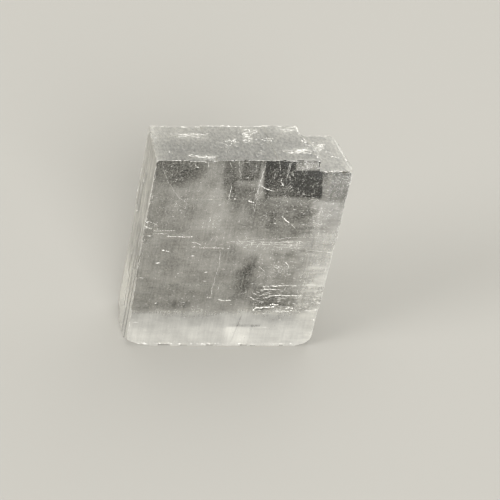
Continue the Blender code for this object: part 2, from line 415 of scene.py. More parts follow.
speckle = grain((0.43, 0.43, 0.43), 3.0, 0.8)
hairs = grain((0.48, 7.7, 0.48), 3.0, 0.6)
streaks = grain((6.5, 0.83, 1.8), 2.5, 0.6)
clouds = grain((4.76, 3.33, 4.76), 2.0, 0.5)
coarse_speckle = grain((0.59, 0.59, 1.18), 3.0, 0.8)
fibres = grain((1.2, 9.0, 1.2), 3.0, 0.7)  # hair scratches, coarse enough to show
print("grains: 6, the finest 0.43 mm")

# %% [markdown]
# Healed cracks show in clear calcite as fine curling lines. Such a line is the contour where a noise
# crosses its middle value, and a second noise breaks it into pieces. The lines are drawn wider than
# real ones, which are too fine to show.

# %% Curling lines of healed cracks
CURL_SIZE = (1.33, 1.33, 1.33)
BREAK_SIZE = (1.11, 1.85, 1.11)
from_middle = node("ShaderNodeMath", (grain(CURL_SIZE, 1.0, 0.5), 0.5), operation="SUBTRACT")
from_middle = node("ShaderNodeMath", (from_middle,), operation="ABSOLUTE")
on_contour = node(SMOOTH, (from_middle, 0.003, 0.020, 1.0, 0.0))
kept = node(SMOOTH, (grain(BREAK_SIZE, 2.0, 0.6), 0.46, 0.56, 0.0, 1.0))
curls = node(TIMES, (on_contour, kept))
print("curls across, mm:", CURL_SIZE[0])

# %% [markdown]
# A straight outline would look ruled, so the place that a zone reads first wanders by up to 2 mm with
# a slow noise. The soft zones take all of that, the crisp ones a little.

# %% A wandering place
WANDER = 2.0
slow_noise = grain((5.0, 5.0, 5.0), 2.5, 0.5, "Color")
reach, middle = (2 * WANDER, 2 * WANDER, 0.0), (-WANDER, -WANDER, 0.0)
drift = node("ShaderNodeVectorMath", (slow_noise, reach, middle), operation="MULTIPLY_ADD")
drifts = [node("ShaderNodeSeparateXYZ", (drift,), axis) for axis in "XY"]


def wandering(along, below, share):
    """A place along and below in mm, moved by a share of the wander."""
    return [node(TIMES_ADD, (moved, share, mm)) for moved, mm in zip(drifts, (along, below))]


def paint_zones(milk, zones, along, below):
    """Adds each zone's change in milkiness, between its four soft sides."""
    for (left, right, top, bottom), softness, change, *lean in zones.values():
        leaned = node(TIMES_ADD, (below, sum(lean), along))
        sides = (leaned, left, 0, 1), (leaned, right, 1, 0), (below, top, 0, 1), (below, bottom, 1, 0)
        for (mm, side, before, after), soft in zip(sides, softness):
            fade = node(SMOOTH, (mm, side - soft / 2, side + soft / 2, before, after))
            change = node(TIMES, (fade, change))
        milk = node(ADD, (milk, change))
    return milk


veils = paint_zones(FRONT_MILK, SOFT_ZONES, *wandering(level_mm, down_mm, 1.0))
front_zones = paint_zones(veils, CRISP_ZONES, *wandering(level_mm, down_mm, 0.15))
print("nodes after the front zones:", len(calcite.node_tree.nodes))

# %% [markdown]
# Milk hides fine detail, so the speckle and the curls are strong where the stone is clear and weak
# where it is milky. Streaks lie across the face, and are stronger towards the right, where the sheets
# have begun to part.

# %% Milkiness of the front
cloudy = node(ADD, (front_zones, node(SMOOTH, (clouds, 0.32, 0.68, -0.045, 0.045))))
clearness = node(SMOOTH, (cloudy, 0.0, 0.55, 1.0, 0.12))
curl_strength = node(SMOOTH, (cloudy, 0.02, 0.30, 0.38, 0.07))
to_right = node(SMOOTH, (level_mm, 16.0, 36.0, 0.35, 1.0))
front_details = (
    node(TIMES, (clearness, node(SMOOTH, (speckle, 0.33, 0.68, -0.13, 0.19)))),
    node(TIMES, (curl_strength, curls)),
    node(TIMES, (to_right, node(SMOOTH, (streaks, 0.35, 0.66, -0.035, 0.04)))),
    node(SMOOTH, (hairs, 0.3, 0.7, -0.03, 0.03)),
)
front_milk = cloudy
for detail in front_details:
    front_milk = node(ADD, (front_milk, detail))
print("kinds of detail on the front:", len(front_details))

# %% [markdown]
# The back is the same body seen from behind, so it shows the front's soft veils, but paler, as its skin
# is more scuffed, with clear zones of its own. The two ends are frosted by hair scratches that run down
# them, and the top by a coarser speckle. The foot shows through the lower front, and is clearer towards
# the back so that no line shows where it begins.

# %% Milkiness of the other faces
TOP_ENDS = {
    "lower_step": ((37.1, 50, -2, 20), (0.4, 1, 1, 1), 0.14),
    "left_end": ((-2, 2.2, -2, 20), (1, 3.5, 1, 1), 0.05),
}
BACK_ZONES = {
    # The clear zones are painted shade too: they lower the milk towards the dark clear colour.
    "clear_upper": ((26, 37, 3, 15), (6, 5, 5, 6), -0.2, 0.1),
    "clear_side": ((5, 14, 7, 21), (6, 6, 6, 8), -0.14),
    "clear_low": ((17, 33, 27, 35), (8, 8, 4, 4), -0.12),
    "veil": ((15, 26, 8, 30), (6, 6, 8, 8), 0.1, 0.2),
}
fine_speckle = node(SMOOTH, (speckle, 0.33, 0.68, -0.10, 0.10))
fine = node(TIMES_ADD, (curls, 0.12, fine_speckle))
slow_clouds = node(SMOOTH, (clouds, 0.3, 0.7, -1.0, 1.0))

back_milk = node(TIMES_ADD, (veils, 0.75, 0.44))
back_milk = paint_zones(back_milk, BACK_ZONES, *wandering(across_mm, down_mm, 1.0))
back_milk = node(TIMES_ADD, (slow_clouds, 0.05, back_milk))
back_milk = node(ADD, (back_milk, fine))

right_milk = node(ADD, (node(SMOOTH, (hairs, 0.3, 0.7, 0.62, 0.84)), fine))
right_milk = node(TIMES_ADD, (slow_clouds, 0.07, right_milk))

foot_milk = node(ADD, (right_milk, node(SMOOTH, (back_mm, 4.0, 18.0, 0.0, -0.22))))

left_milk = node(SMOOTH, (fibres, 0.3, 0.7, 0.46, 0.84))
left_milk = node(TIMES_ADD, (slow_clouds, 0.07, left_milk))
left_milk = node(ADD, (left_milk, node(SMOOTH, (down_mm, 26.0, 42.0, 0.0, 0.56))))

top_milk = node(SMOOTH, (coarse_speckle, 0.3, 0.7, 0.31, 0.63))
top_milk = node(TIMES_ADD, (slow_clouds, 0.02, top_milk))
top_milk = paint_zones(top_milk, TOP_ENDS, across_mm, back_mm)
top_milk = paint_zones(top_milk, TOP_ZONES, *wandering(across_mm, back_mm, 0.4))
print("nodes after all faces:", len(calcite.node_tree.nodes))

# %% [markdown]
# The surface's direction says which face a spot belongs to, and so which milkiness it takes. Material
# slots could say it too, but then every ledge and chip would have to be sorted by hand. The small
# risers behind the front are left evenly milky, and what looks along none of the cleavage directions is
# a broken surface.

# %% Which face a spot belongs to
INWARD = {
    "front": WAYS["across"].cross(WAYS["down"]).normalized(),
    "top": WAYS["back"].cross(WAYS["across"]).normalized(),
    "left": WAYS["down"].cross(WAYS["back"]).normalized(),
}
INWARD.update({"back": -INWARD["front"], "foot": -INWARD["top"], "right": -INWARD["left"]})


def looks_out(face):
    """1 where the surface looks out of this face, 0 elsewhere."""
    agreement = node(DOT, (face_direction, -INWARD[face]), "Value")
    return node(SMOOTH, (agreement, 0.85, 0.97, 0.0, 1.0))


at_front = node(SMOOTH, (back_mm, 0.8, 1.0, 1.0, 0.0))
front_share = node(TIMES, (looks_out("front"), at_front))
back_share = looks_out("back")
milk = node(SMOOTH, (speckle, 0.3, 0.7, 0.52, 0.80))
for share, its_milk in (
    (looks_out("front"), 0.50), (front_share, front_milk), (back_share, back_milk),
    (looks_out("top"), top_milk), (looks_out("foot"), foot_milk),
    (looks_out("left"), left_milk), (looks_out("right"), right_milk),
):
    milk = node("ShaderNodeMix", {0: share, 2: milk, 3: its_milk})
print("front looks towards:", [round(-part, 2) for part in INWARD["front"]])

# %% [markdown]
# The milk sets the colour: near black where the stone is clear, warm white where it is full of veils.
# The clear colour has to be dark because the shader mixes plain white scattering into the glass, and a
# clear zone scatters nothing. That dark colour also tints the light that passes through, so every clear
# zone is painted shade, as if a dark ground showed through the stone. Where the milk is thick the skin
# is rougher too.

# %% Colour, gloss and glass
milk = node("ShaderNodeMath", (node("ShaderNodeClamp", (milk,)), 1.5), operation="POWER")
CALCITE_IOR = 1.6
# The near black of the clear stone is painted shade.
CLEAR_PAINTED_DARK, MILKY = srgb("#171715"), srgb("#fbf8ed")
stone_colour = node("ShaderNodeMix", {0: milk, 6: CLEAR_PAINTED_DARK, 7: MILKY}, 2, data_type="RGBA")
side_gloss = node("ShaderNodeMix", {0: back_share, 2: 0.34, 3: 0.06})
front_gloss = node(SMOOTH, (front_milk, 0.1, 0.7, 0.07, 0.34))
gloss = node("ShaderNodeMix", {0: front_share, 2: side_gloss, 3: front_gloss})
fine_bump = node("ShaderNodeBump", {"Height": speckle, "Strength": 0.15, "Distance": 0.1 * MM})
set_inputs(calcite.node_tree.nodes["Principled BSDF"], {
    "Base Color": stone_colour, "Roughness": gloss, "Normal": fine_bump,
    "IOR": CALCITE_IOR, "Transmission Weight": 0.68,
})
warm_grey = node("ShaderNodeVolumeAbsorption", {"Color": srgb("#dedcd5"), "Density": 60.0})
set_inputs(calcite.node_tree.nodes["Material Output"], {"Volume": warm_grey})
crystal.data.materials.clear()
crystal.data.materials.append(calcite)
print(calcite.name, "has", len(calcite.node_tree.nodes), "nodes")

# %% [markdown]
# ## Cracks, flecks and bruised edges
#
# What glitters on a cleaved crystal is its damage: hair cracks, and tiny lifted chips with air under
# them. Cutting grooves this fine into the body would take millions of faces. A very flat diamond of
# eight faces, laid on the surface, gives the same dash of light. A mark is a short row of them, and a
# scuff is a cloud of them.
#
# Calcite with air below it sends all light back, so its finish is opaque. It is greyer than the milk,
# because the diamonds are wider than real chips, to show at all. How strongly each glints is stored on
# it as an attribute, and its colour runs with it from faint to bright: a painted glint on each chip.

# %% The finish of an open crack
lifted_chip = bpy.data.materials.new("calcite_lifted_chip")
lifted_chip.use_nodes = True
chip_tree = lifted_chip.node_tree
glint = add_node(chip_tree, "ShaderNodeAttribute", {}, "Fac", attribute_name="glint")
# The colour is a painted highlight: bright for chips that should catch the light, faint for the rest.
FAINT, BRIGHT = srgb("#6a6863"), srgb("#cfcdc6")
chip_painted_glint = add_node(chip_tree, "ShaderNodeMix", {0: glint, 6: FAINT, 7: BRIGHT}, 2, data_type="RGBA")
chip_values = {"Base Color": chip_painted_glint, "Roughness": 0.4, "IOR": CALCITE_IOR}
set_inputs(chip_tree.nodes["Principled BSDF"], chip_values)
print(lifted_chip.name, "has", len(chip_tree.nodes), "nodes")

# %% Places on the six faces
LEAN = -WAYS["down"].x
ON_FACE = {
    "front": lambda level, down: at(level + LEAN * down, down, 0.0),
    "top": lambda across, back: at(across, 0.0, back),
    "left": lambda back, down: at(0.0, down, back),
    "right": lambda back, down: at(ACROSS, down, back),
    "back": lambda across, down: at(across, down, BACK),
    "foot": lambda across, back: at(across, DOWN, back),
}

mesh = bmesh.new()
mesh.from_mesh(crystal.data)
SURFACE = BVHTree.FromBMesh(mesh)
mesh.free()
print("the front leans left, mm per mm down:", round(LEAN, 3))

# %% [markdown]
# Every chip has to lie on the real surface, ledges included. So a ray is sent into the face from just
# outside, and the chip takes the place and direction of what it hits. A chip that would dip below the
# floor is left out.

# %% Lay one chip
HALF_THICKNESS = 0.035  # mm, of a chip at its middle
STAND_OFF = 5.0  # mm outside the face, where a ray starts


def lay_flat(heap, spot, normal, along, length, width, glint):
    """Notes a flat diamond, its sizes in mm, unless it would reach below the floor."""
    along = (along - along.dot(normal) * normal).normalized()
    turn = Matrix((along, normal.cross(along), normal)).transposed()
    size = (length / 2 * MM, width / 2 * MM, HALF_THICKNESS * MM)
    if spot.z > sum(abs(part) * half for part, half in zip(turn.row[2], size)):
        heap.append((spot, turn.to_euler(), size, glint))


def lay_chip(heap, face, measures, along, length, width, glint):
    """Lays a diamond on a face, at a place in that face's own mm."""
    start = ON_FACE[face](*measures) - STAND_OFF * MM * INWARD[face]
    hit, normal, _, _ = SURFACE.ray_cast(start, INWARD[face])
    if hit is not None:
        lay_flat(heap, hit, normal, along, length, width, glint)


print("chip thickness, mm:", 2 * HALF_THICKNESS)

# %% [markdown]
# ## Cracks and scratches
#
# Each crack is a line through a few points, drawn as overlapping chips of uneven length and width, so
# that it breaks up as a real crack does where it dips under the skin.

# %% Cracks on the upper front
# Each: widest mm, how brightly it glints, and its points as (level, down) mm.
UPPER_CRACKS = {
    "fissure": [(0.1, 0.5, (1.3, 0.5), (1.5, 2.5), (2.2, 4.8), (3.6, 7), (4.9, 9.1), (6.3, 9.8))],
    "long_scratch": [
        (0.12, 0.5, (24.5, 0.2), (24.2, 2.2), (23.4, 4.5), (22.6, 8.5), (21.9, 12.2)),
        (0.11, 0.5, (24.1, 2.4), (22.9, 6.3), (22.2, 9)), (0.3, 0.8, (20.6, 9.6), (21.8, 10)),
        (0.24, 0.95, (23.5, 6), (25, 6.9), (26.3, 7.2)),
    ],
    "leaf": [
        (0.1, 0.95, (30, 0.4), (29.5, 2.2), (29.3, 4.2)), (0.1, 0.7, (30.1, 0.5), (29.9, 2), (29.3, 4.1)),
    ],
    "short": [
        (0.26, 1, (27.9, 4.5), (28.4, 6.1)), (0.12, 0.9, (26.8, 2.8), (26.2, 4.4)),
        (0.14, 0.6, (27.6, 0.1), (27.7, 2.4)), (0.16, 0.7, (30.4, 2.4), (30.8, 3.6)),
    ],
    "thin": [
        (0.12, 0.95, (16.8, 6), (16, 9.3)), (0.11, 0.8, (18.5, 0.1), (18.6, 2.5), (19.1, 4.4)),
        (0.16, 0.9, (11.7, 0.2), (11.6, 1.4)), (0.16, 0.7, (16.5, 0.4), (16.8, 1.6)),
    ],
    "diagonal": [(0.2, 1, (28.2, 13.4), (29.8, 14.9)), (0.14, 0.7, (30.4, 15.3), (31.4, 16.4))],
    "specks": [(0.2, 1, (5.1, 12.7), (5.5, 12.5)), (0.1, 0.9, (18.9, 15.9), (20, 15.9))],
}
print("cracks on the upper front:", *UPPER_CRACKS)

# %% Cracks across the middle
MIDDLE_CRACKS = {
    "mouth": [
        (0.12, 0.9, (-2.7, 14.6), (-1.6, 15), (-0.4, 15.5)),
        (0.22, 1, (-3.2, 15.9), (-2.6, 16.3), (-1.7, 16.6)),
    ],
    "trace": [
        (0.1, 1, (-1.4, 16.9), (3.6, 16.9)), (0.12, 1, (-1.5, 17.6), (1.8, 17.7), (2.3, 18.2)),
        (0.17, 1, (1.8, 18.3), (5, 18.4), (7.6, 18.35)), (0.14, 0.8, (7.6, 19.7), (8.4, 19.9), (9.4, 20.3)),
        (0.11, 0.9, (9, 21.1), (14.8, 21.1)), (0.1, 0.5, (17.5, 20.2), (23, 19), (30, 18.7)),
        (0.1, 0.8, (29, 18.5), (37.5, 18.4)), (0.1, 0.6, (30.5, 19.3), (33, 19.6)),
    ],
    "band": [
        (0.1, 0.7, (16.5, 19.6), (22, 19.4)), (0.1, 0.7, (20, 20.3), (27, 20.2), (33, 20.4)),
        (0.09, 0.7, (24, 19.8), (31, 19.7)), (0.09, 0.6, (27, 21), (34, 21.1)),
    ],
    "edge": [(0.1, 0.8, (34, 21.7), (37, 21.9), (40.3, 22.1)), (0.14, 1, (38.8, 22.2), (40.1, 22.3))],
    "upright": [(0.09, 0.6, (14, 21.7), (13.8, 25), (12.6, 29), (11.6, 33.5))],
    "loop": [
        (0.14, 0.9, (26.4, 25.8), (27, 25.4), (27.7, 25.8), (27.2, 26.2), (26.4, 25.9)),
        (0.1, 0.7, (27.4, 26.9), (28.5, 27.6)), (0.16, 1, (29, 24.6), (29.9, 25.3)),
        (0.12, 0.8, (30.1, 24.4), (31, 24.5)),
    ],
    "curls": [(0.1, 0.8, (23, 25.7), (24.2, 26.9)), (0.1, 0.7, (23.3, 28), (22.5, 28.7))],
    "right_patch": [(0.28, 0.7, (36.7, 25.8), (37.8, 26.2))],
    "specks": [
        (0.28, 1, (0.8, 21.8), (2.1, 22)), (0.42, 1, (7.5, 23.2), (8.1, 23.2)),
        (0.22, 1, (-0.8, 25.1), (-0.2, 25)), (0.2, 1, (10.2, 27.3), (10.8, 27.2)),
        (0.2, 1, (4, 27.7), (4.3, 27.7)), (0.1, 0.9, (-5.6, 28.7), (-4, 28.7)),
        (0.1, 1, (14.2, 26.4), (15, 26.4)),
    ],
}
print("cracks across the middle:", *MIDDLE_CRACKS)

# %% Cracks on the lower front
LOWER_CRACKS = {
    "first_line": [
        (0.18, 0.95, (24, 30.75), (25.4, 30.7), (26.4, 30.6)),
        (0.28, 1, (26.2, 30.65), (27.5, 30.7), (28.5, 30.8)),
        (0.18, 0.9, (28.3, 30.75), (29.3, 30.5), (31.6, 30.6)), (0.1, 0.8, (28, 29.9), (29.3, 30.3)),
        (0.22, 0.9, (34.2, 30.3), (35.8, 30.2)), (0.12, 0.7, (33, 30.5), (38.2, 30.5)),
    ],
    "next_lines": [
        (0.2, 0.9, (23.7, 31.6), (26.9, 31.5)), (0.16, 0.9, (23.9, 33.7), (25.4, 33.5), (26.2, 33.1)),
        (0.22, 1, (26.2, 33.1), (33, 33.1)),
    ],
    "wedge": [(0.28, 1, (20.9, 33.65), (21.9, 34.05)), (0.1, 0.6, (21.8, 34), (22.6, 34.45), (24, 34.75))],
    "main_crack": [
        (0.3, 1, (21.6, 36.8), (21.9, 36.5), (22.4, 36.3), (23.6, 36.2), (26.6, 36)),
        (0.36, 1, (21.5, 36.85), (21.9, 36.65)), (0.34, 1, (25.6, 35.45), (27.4, 35.4)),
        (0.1, 0.7, (23.4, 36.15), (25.6, 35.6)), (0.15, 0.8, (27.5, 35.9), (30.8, 36)),
    ],
    "last_lines": [
        (0.28, 1, (29.2, 36.4), (31, 36.4)), (0.15, 0.8, (25.9, 37), (28.5, 37.3)),
        (0.22, 1, (28, 37.25), (29.1, 37.2), (30.6, 36.9)), (0.12, 0.9, (29.9, 37.5), (30.7, 37.6)),
    ],
    "edge": [(0.24, 1, (36.5, 35.15), (37.8, 35)), (0.2, 1, (33.8, 37), (36.4, 37))],
    "foot_dash": [(0.14, 1, (22, 41.25), (24.7, 41.35))],
    "left_dashes": [
        (0.16, 1, (13.4, 34.2), (16.1, 34.5)), (0.2, 1, (10.8, 33.5), (11.6, 33.7)),
        (0.1, 0.8, (11.8, 31), (11.9, 32.8)),
    ],
    "specks": [
        (0.22, 1, (-1.6, 35.2), (-1.1, 35)), (0.12, 0.8, (4.4, 35), (5.6, 34.9)),
        (0.24, 0.9, (-7.2, 40.1), (-6, 40.2)), (0.24, 0.8, (27.4, 39.4), (28.2, 39.4)),
    ],
}
print("cracks on the lower front:", *LOWER_CRACKS)

# %% Marks on the top
# Here the points are (across, back) mm. On the lower step they are given 0.65 mm short in both, since a
# ray that goes straight in meets it that much further on.
TOP_MARKS = {
    "squiggle": [
        (0.4, 1, (22.4, 15.9), (23.2, 16.3), (24, 15.8), (23.7, 14.9), (22.9, 14.7)),
        (0.4, 1, (22.9, 14.7), (22.1, 14.3), (22.4, 13.4), (23.3, 13.6)),
        (0.36, 1, (21.7, 13.5), (22.3, 14.3), (22.1, 12.8), (22.9, 12.3)),
        (0.36, 1, (24.3, 15.4), (24.8, 14.3), (25.5, 14.9), (25.3, 15.8)),
        (0.42, 1, (21.6, 11.9), (22.4, 12.3), (23.1, 11.6), (22.6, 11.1)),
        (0.44, 1, (21.1, 10.2), (22, 10.8), (22.9, 10.2), (22.3, 9.4), (21.6, 9.4)),
        (0.46, 1, (17.8, 9.6), (18.1, 10.7), (18.6, 9.7), (19.1, 10.8), (19.6, 9.8)),
        (0.3, 0.8, (18.9, 9.6), (20.4, 9.4)), (0.44, 0.9, (16.9, 8), (17.4, 7.4), (17.9, 7.9)),
    ],
    "fork": [
        (0.36, 1, (25.7, 11.1), (26.3, 10.1), (27.3, 10.6), (28, 9.4)),
        (0.36, 0.9, (26.4, 11.2), (27.2, 11.6), (28, 11)),
    ],
    "scuff": [
        (0.75, 1, (4.8, 13.7), (9.4, 13.5), (12.3, 13.7)),
        (0.63, 0.9, (8.9, 14.1), (10.9, 13.9), (12.4, 13.3)),
        (0.54, 0.5, (6.2, 12.1), (8.9, 12.7), (11.4, 11.5)),
    ],
    "front_bits": [
        (0.9, 1, (7.7, 2.6), (8.5, 2.6)), (0.78, 1, (9, 2.4), (11, 1.8), (13.4, 2.1)),
        (0.78, 1, (9.7, 2.1), (12.2, 1.7)), (0.32, 0.8, (11.4, 0.7), (13.1, 0.6)),
        (0.4, 0.9, (13, 0.5), (13, 0.1)),
    ],
    "right_bits": [
        (0.65, 1, (29.5, 4.7), (30.6, 4.3), (32.4, 4.8), (35.4, 5.3)), (0.65, 0.9, (30.7, 3.7), (34.6, 4.5)),
        (0.78, 1, (33.1, 5.6), (34.5, 5.4)), (0.22, 0.7, (28.5, 0.4), (35.6, 0.7)),
    ],
    "rear_right": [
        (0.55, 0.7, (31.4, 15.9), (33, 16.4), (34.6, 15.6)),
        (0.65, 1, (33.8, 17.1), (35.3, 17.3), (35.3, 15.4)),
    ],
    "brink": [
        (0.62, 1, (34.9, 17.6), (35.2, 16.4), (35.2, 15)), (0.34, 0.9, (35.2, 14.2), (35.4, 13)),
        (0.42, 1, (35.5, 11.6), (35.8, 10.1), (36.3, 9.2)), (0.36, 0.9, (36.5, 8.4), (36.7, 7.3)),
        (0.34, 0.8, (36.4, 5.6), (36.6, 4.7)), (0.48, 1, (36.5, 3.2), (36.8, 2.3), (36.5, 1.3)),
    ],
    "step": [
        (0.78, 0.9, (38.4, 11), (40.5, 12)), (0.78, 0.9, (38.1, 9.4), (39.4, 10.2)),
        (0.65, 0.8, (39.8, 12.5), (41.1, 13.1)), (0.78, 1, (41.1, 6.5), (42.5, 5.9)),
    ],
    "thin_lines": [(0.12, 0.5, (17.3, 6.5), (16.2, 0.6)), (0.22, 0.6, (1.2, 12), (0.6, 9.4))],
    "specks": [
        (0.3, 0.9, (3.4, 4.8), (3.2, 3.9)), (0.5, 0.8, (22.9, 2.6), (23.3, 2.3)),
        (0.4, 0.6, (19.4, 4), (20.1, 4)), (0.6, 1, (27.2, 0.2), (27.9, 0.3)),
    ],
}
print("marks on the top:", *TOP_MARKS)

# %% Cracks on the other faces
# These are kept by face. Cracks that reach an edge of the front run on round it.
SIDE_CRACKS = {
    "right": [
        (0.16, 0.8, (0.2, 22.2), (3, 22.2), (6.5, 22.3)), (0.14, 0.8, (0.2, 30.5), (9, 30.6)),
        (0.2, 0.9, (0.2, 35.1), (4, 35)), (0.14, 0.7, (0.2, 37), (6, 37.1), (12, 37)),
        (0.14, 0.8, (17.5, 15.2), (12, 15.2)),
    ],
    "left": [(0.16, 0.9, (0.3, 15), (3.5, 15.1)), (0.12, 0.7, (0.3, 16.9), (7, 16.9))],
    "back": [
        (0.13, 0.7, (8, 18.2), (15, 18.2), (21, 18.4)), (0.12, 0.7, (23, 30.2), (36, 30.1)),
        (0.11, 0.6, (31, 6), (30.6, 12), (30.4, 19)), (0.18, 0.8, (12, 36.5), (19, 36.3)),
        (0.14, 0.8, (36, 22), (44, 22.1)),
    ],
}
print("cracks on the other faces:", *SIDE_CRACKS)

# %% Draw the cracks
CHIP_STEP = 0.5  # mm from one chip of a crack to the next
dice = random.Random(11)
marks = []


def draw_cracks(face, cracks):
    """Lays cracks on a face, each as short overlapping chips."""
    for width, glint, *points in cracks:
        for start, end in zip(points, points[1:]):
            length = math.dist(start, end)
            pieces = max(1, round(length / CHIP_STEP))
            along = ON_FACE[face](*end) - ON_FACE[face](*start)
            for piece in range(pieces):
                share = (piece + dice.uniform(0.3, 0.7)) / pieces
                stray = 0.03 + 0.12 * width
                spot = [a + share * (b - a) + dice.gauss(0.0, stray) for a, b in zip(start, end)]
                long = dice.uniform(0.8, 1.9) * length / pieces
                wide = width * dice.uniform(0.35, 1.0)
                lay_chip(marks, face, spot, along, long, wide, glint * dice.uniform(0.6, 1.0))


for kinds in (UPPER_CRACKS, MIDDLE_CRACKS, LOWER_CRACKS):
    for cracks in kinds.values():
        draw_cracks("front", cracks)
for cracks in TOP_MARKS.values():
    draw_cracks("top", cracks)
for face, cracks in SIDE_CRACKS.items():
    draw_cracks(face, cracks)
print("chips in the cracks:", len(marks))

# %% [markdown]
# ## Scuffs and dust
#
# Scuffs gather in loose clouds, and most lie along one edge direction. A normal spread about a centre
# gives a cloud with no outline, where a box or a disc of chips would show one.

# %% Clouds on the front
# Each: centre, reach, how many, longest and widest mm, the way they lie (any, if not said), and how
# brightly they glint.
FRONT_CLOUDS = {
    "window": ((31, 5.2), (4.2, 2.6), 260, 0.42, 0.12),
    "window_left": ((26.5, 6.5), (1.8, 2.5), 60, 0.42, 0.12),
    "riser": ((34, 1.3), (1.4, 0.5), 70, 0.6, 0.14, "across"),
    "corner": ((4, 3.2), (2.6, 2), 110, 0.4, 0.11),
    "fissure": ((4.8, 10.5), (2.2, 1.4), 70, 0.4, 0.12),
    "middle": ((18, 6), (1.6, 3.4), 90, 0.4, 0.11, "down"),
    "scratch": ((22.4, 9), (1, 3), 70, 0.5, 0.12, "down"),
    "dark_streak_area": ((26, 14.5), (2.2, 2.2), 70, 0.4, 0.12),
    "right_upper": ((35.5, 11.5), (2.6, 1.6), 90, 0.9, 0.13, "across"),
    "right_middle": ((36, 16), (2.6, 3.5), 70, 0.9, 0.11, "across"),
    "band": ((26, 20), (6, 0.6), 80, 1.8, 0.11, "across"),
    "band_below": ((32, 21.5), (3.5, 1.2), 60, 0.7, 0.12, "across"),
    "loop": ((28, 26), (1.9, 1.5), 90, 0.5, 0.15),
    "loop_low": ((26.5, 28.5), (2.2, 1.4), 50, 0.4, 0.12),
    "cracks": ((26.8, 33.4), (3.2, 2), 170, 1.3, 0.12, "across", 0.9),
    "crack_low": ((27, 36.6), (2.6, 0.6), 60, 0.9, 0.11, "across"),
    "crack_left": ((22, 35.2), (0.8, 1), 40, 0.5, 0.14),
    "right_lower": ((35.5, 32), (1.6, 3), 70, 1.4, 0.12, "across", 0.9),
    "mouth": ((-1.6, 15.6), (1.6, 0.9), 40, 0.5, 0.12, "any", 0.6),
    "mouth_below": ((-3.4, 19.8), (0.7, 1.6), 36, 0.4, 0.12),
    "upright": ((18.8, 29), (1.1, 3), 60, 0.4, 0.1),
    "lower_left": ((3, 34.8), (5.5, 2), 60, 0.5, 0.11, "across"),
    "foot": ((12, 42), (12, 1.8), 70, 0.5, 0.12),
    "everywhere": ((15, 22), (13, 13), 260, 0.4, 0.11, "across"),
}
print("clouds on the front:", len(FRONT_CLOUDS))

# %% Clouds on the top
TOP_CLOUDS = {
    "scuff": ((9, 13.4), (2.2, 0.6), 34, 1, 0.45, "across", 1.2),
    "squiggles": ((23.3, 13.6), (1.2, 1.7), 30, 0.8, 0.5, "any", 1.4),
    "fork": ((27, 10.8), (1, 0.8), 14, 0.8, 0.32, "any", 1),
    "fork_left": ((19, 9.9), (0.9, 0.6), 18, 0.8, 0.5, "any", 1.4),
    "trail": ((17, 4.6), (0.3, 2.4), 18, 0.5, 0.35),
    "front_bits": ((11, 2.1), (1.4, 0.4), 26, 0.8, 0.5, "across", 1.6),
    "right_bits": ((33, 4.8), (1.6, 0.6), 34, 0.9, 0.45, "across", 1.3),
    "rear_right": ((33, 15.6), (1.8, 1.1), 36, 0.8, 0.45, "any", 1),
    "brink": ((36.2, 9), (0.7, 3), 90, 0.7, 0.5, "any", 1.4),
    "step": ((39.4, 10.9), (0.8, 1.3), 40, 0.9, 0.6, "across", 1.2),
    "step_left": ((38.4, 7), (0.4, 2), 20, 0.6, 0.5, "any", 1.2),
    "step_spread": ((40.6, 8.6), (1.8, 3.4), 50, 0.6, 0.35),
    "top_spread": ((17, 8), (11, 5), 260, 0.9, 0.25, "across", 0.5),
    "top_left": ((2, 12), (1, 4), 60, 0.9, 0.25, "back"),
}
print("clouds on the top:", len(TOP_CLOUDS))

# %% Clouds on the other faces
# These are kept by face.
OTHER_CLOUDS = {
    "left": [((8, 22), (6, 14), 260, 1.2, 0.12, "down"), ((9, 38), (5, 4), 80, 0.9, 0.16, "down")],
    "right": [((8, 22), (6, 13), 300, 1.4, 0.12, "down", 0.9), ((5, 31), (2, 3), 90, 0.9, 0.2, "any", 1.2)],
    "back": [
        ((22, 22), (12, 13), 360, 1.4, 0.1, "across", 0.6), ((30, 12), (4, 3), 110, 1, 0.14, "any", 1),
        ((14, 33), (4, 1.6), 110, 1.3, 0.14, "across", 1),
    ],
    "foot": [((22, 9), (12, 5), 150, 0.5, 0.2)],
}
print("clouds on the other faces:", *OTHER_CLOUDS)

# %% Scatter the clouds
STRAYS = 0.12  # the share that lies any way
flecks = []


def any_way():
    """A direction that may point anywhere."""
    return Vector([dice.gauss(0.0, 1.0) for _ in range(3)])


def scatter_cloud(face, centre, reach, count, longest, widest, way="any", glint=0.7):
    """Lays chips about a centre, most of them small."""
    for _ in range(count):
        spot = [middle + dice.gauss(0.0, spread) for middle, spread in zip(centre, reach)]
        if way == "any" or dice.random() < STRAYS:
            along = any_way()
        else:
            along = WAYS[way] + 0.12 * any_way()
        size = 0.25 + 0.75 * dice.random() ** 2
        wide = widest * dice.uniform(0.5, 1.0) * size**0.5
        shine = min(1.0, glint * dice.uniform(0.3, 1.0))
        lay_chip(flecks, face, spot, along, longest * size, wide, shine)


for cloud in FRONT_CLOUDS.values():
    scatter_cloud("front", *cloud)
for cloud in TOP_CLOUDS.values():
    scatter_cloud("top", *cloud)
for face, its_clouds in OTHER_CLOUDS.items():
    for cloud in its_clouds:
        scatter_cloud(face, *cloud)
print("chips in the clouds:", len(flecks))

# %% [markdown]
# ## Bruised edges
#
# Calcite is soft, 3 on Mohs' scale, so handling crumbles its edges into a broken white line, where a
# bevel would round them. Chips are laid along the long outer edges first, and then along every sharp
# edge that the ledges and ribs leave. The lower a ledge is, the fewer it gets.

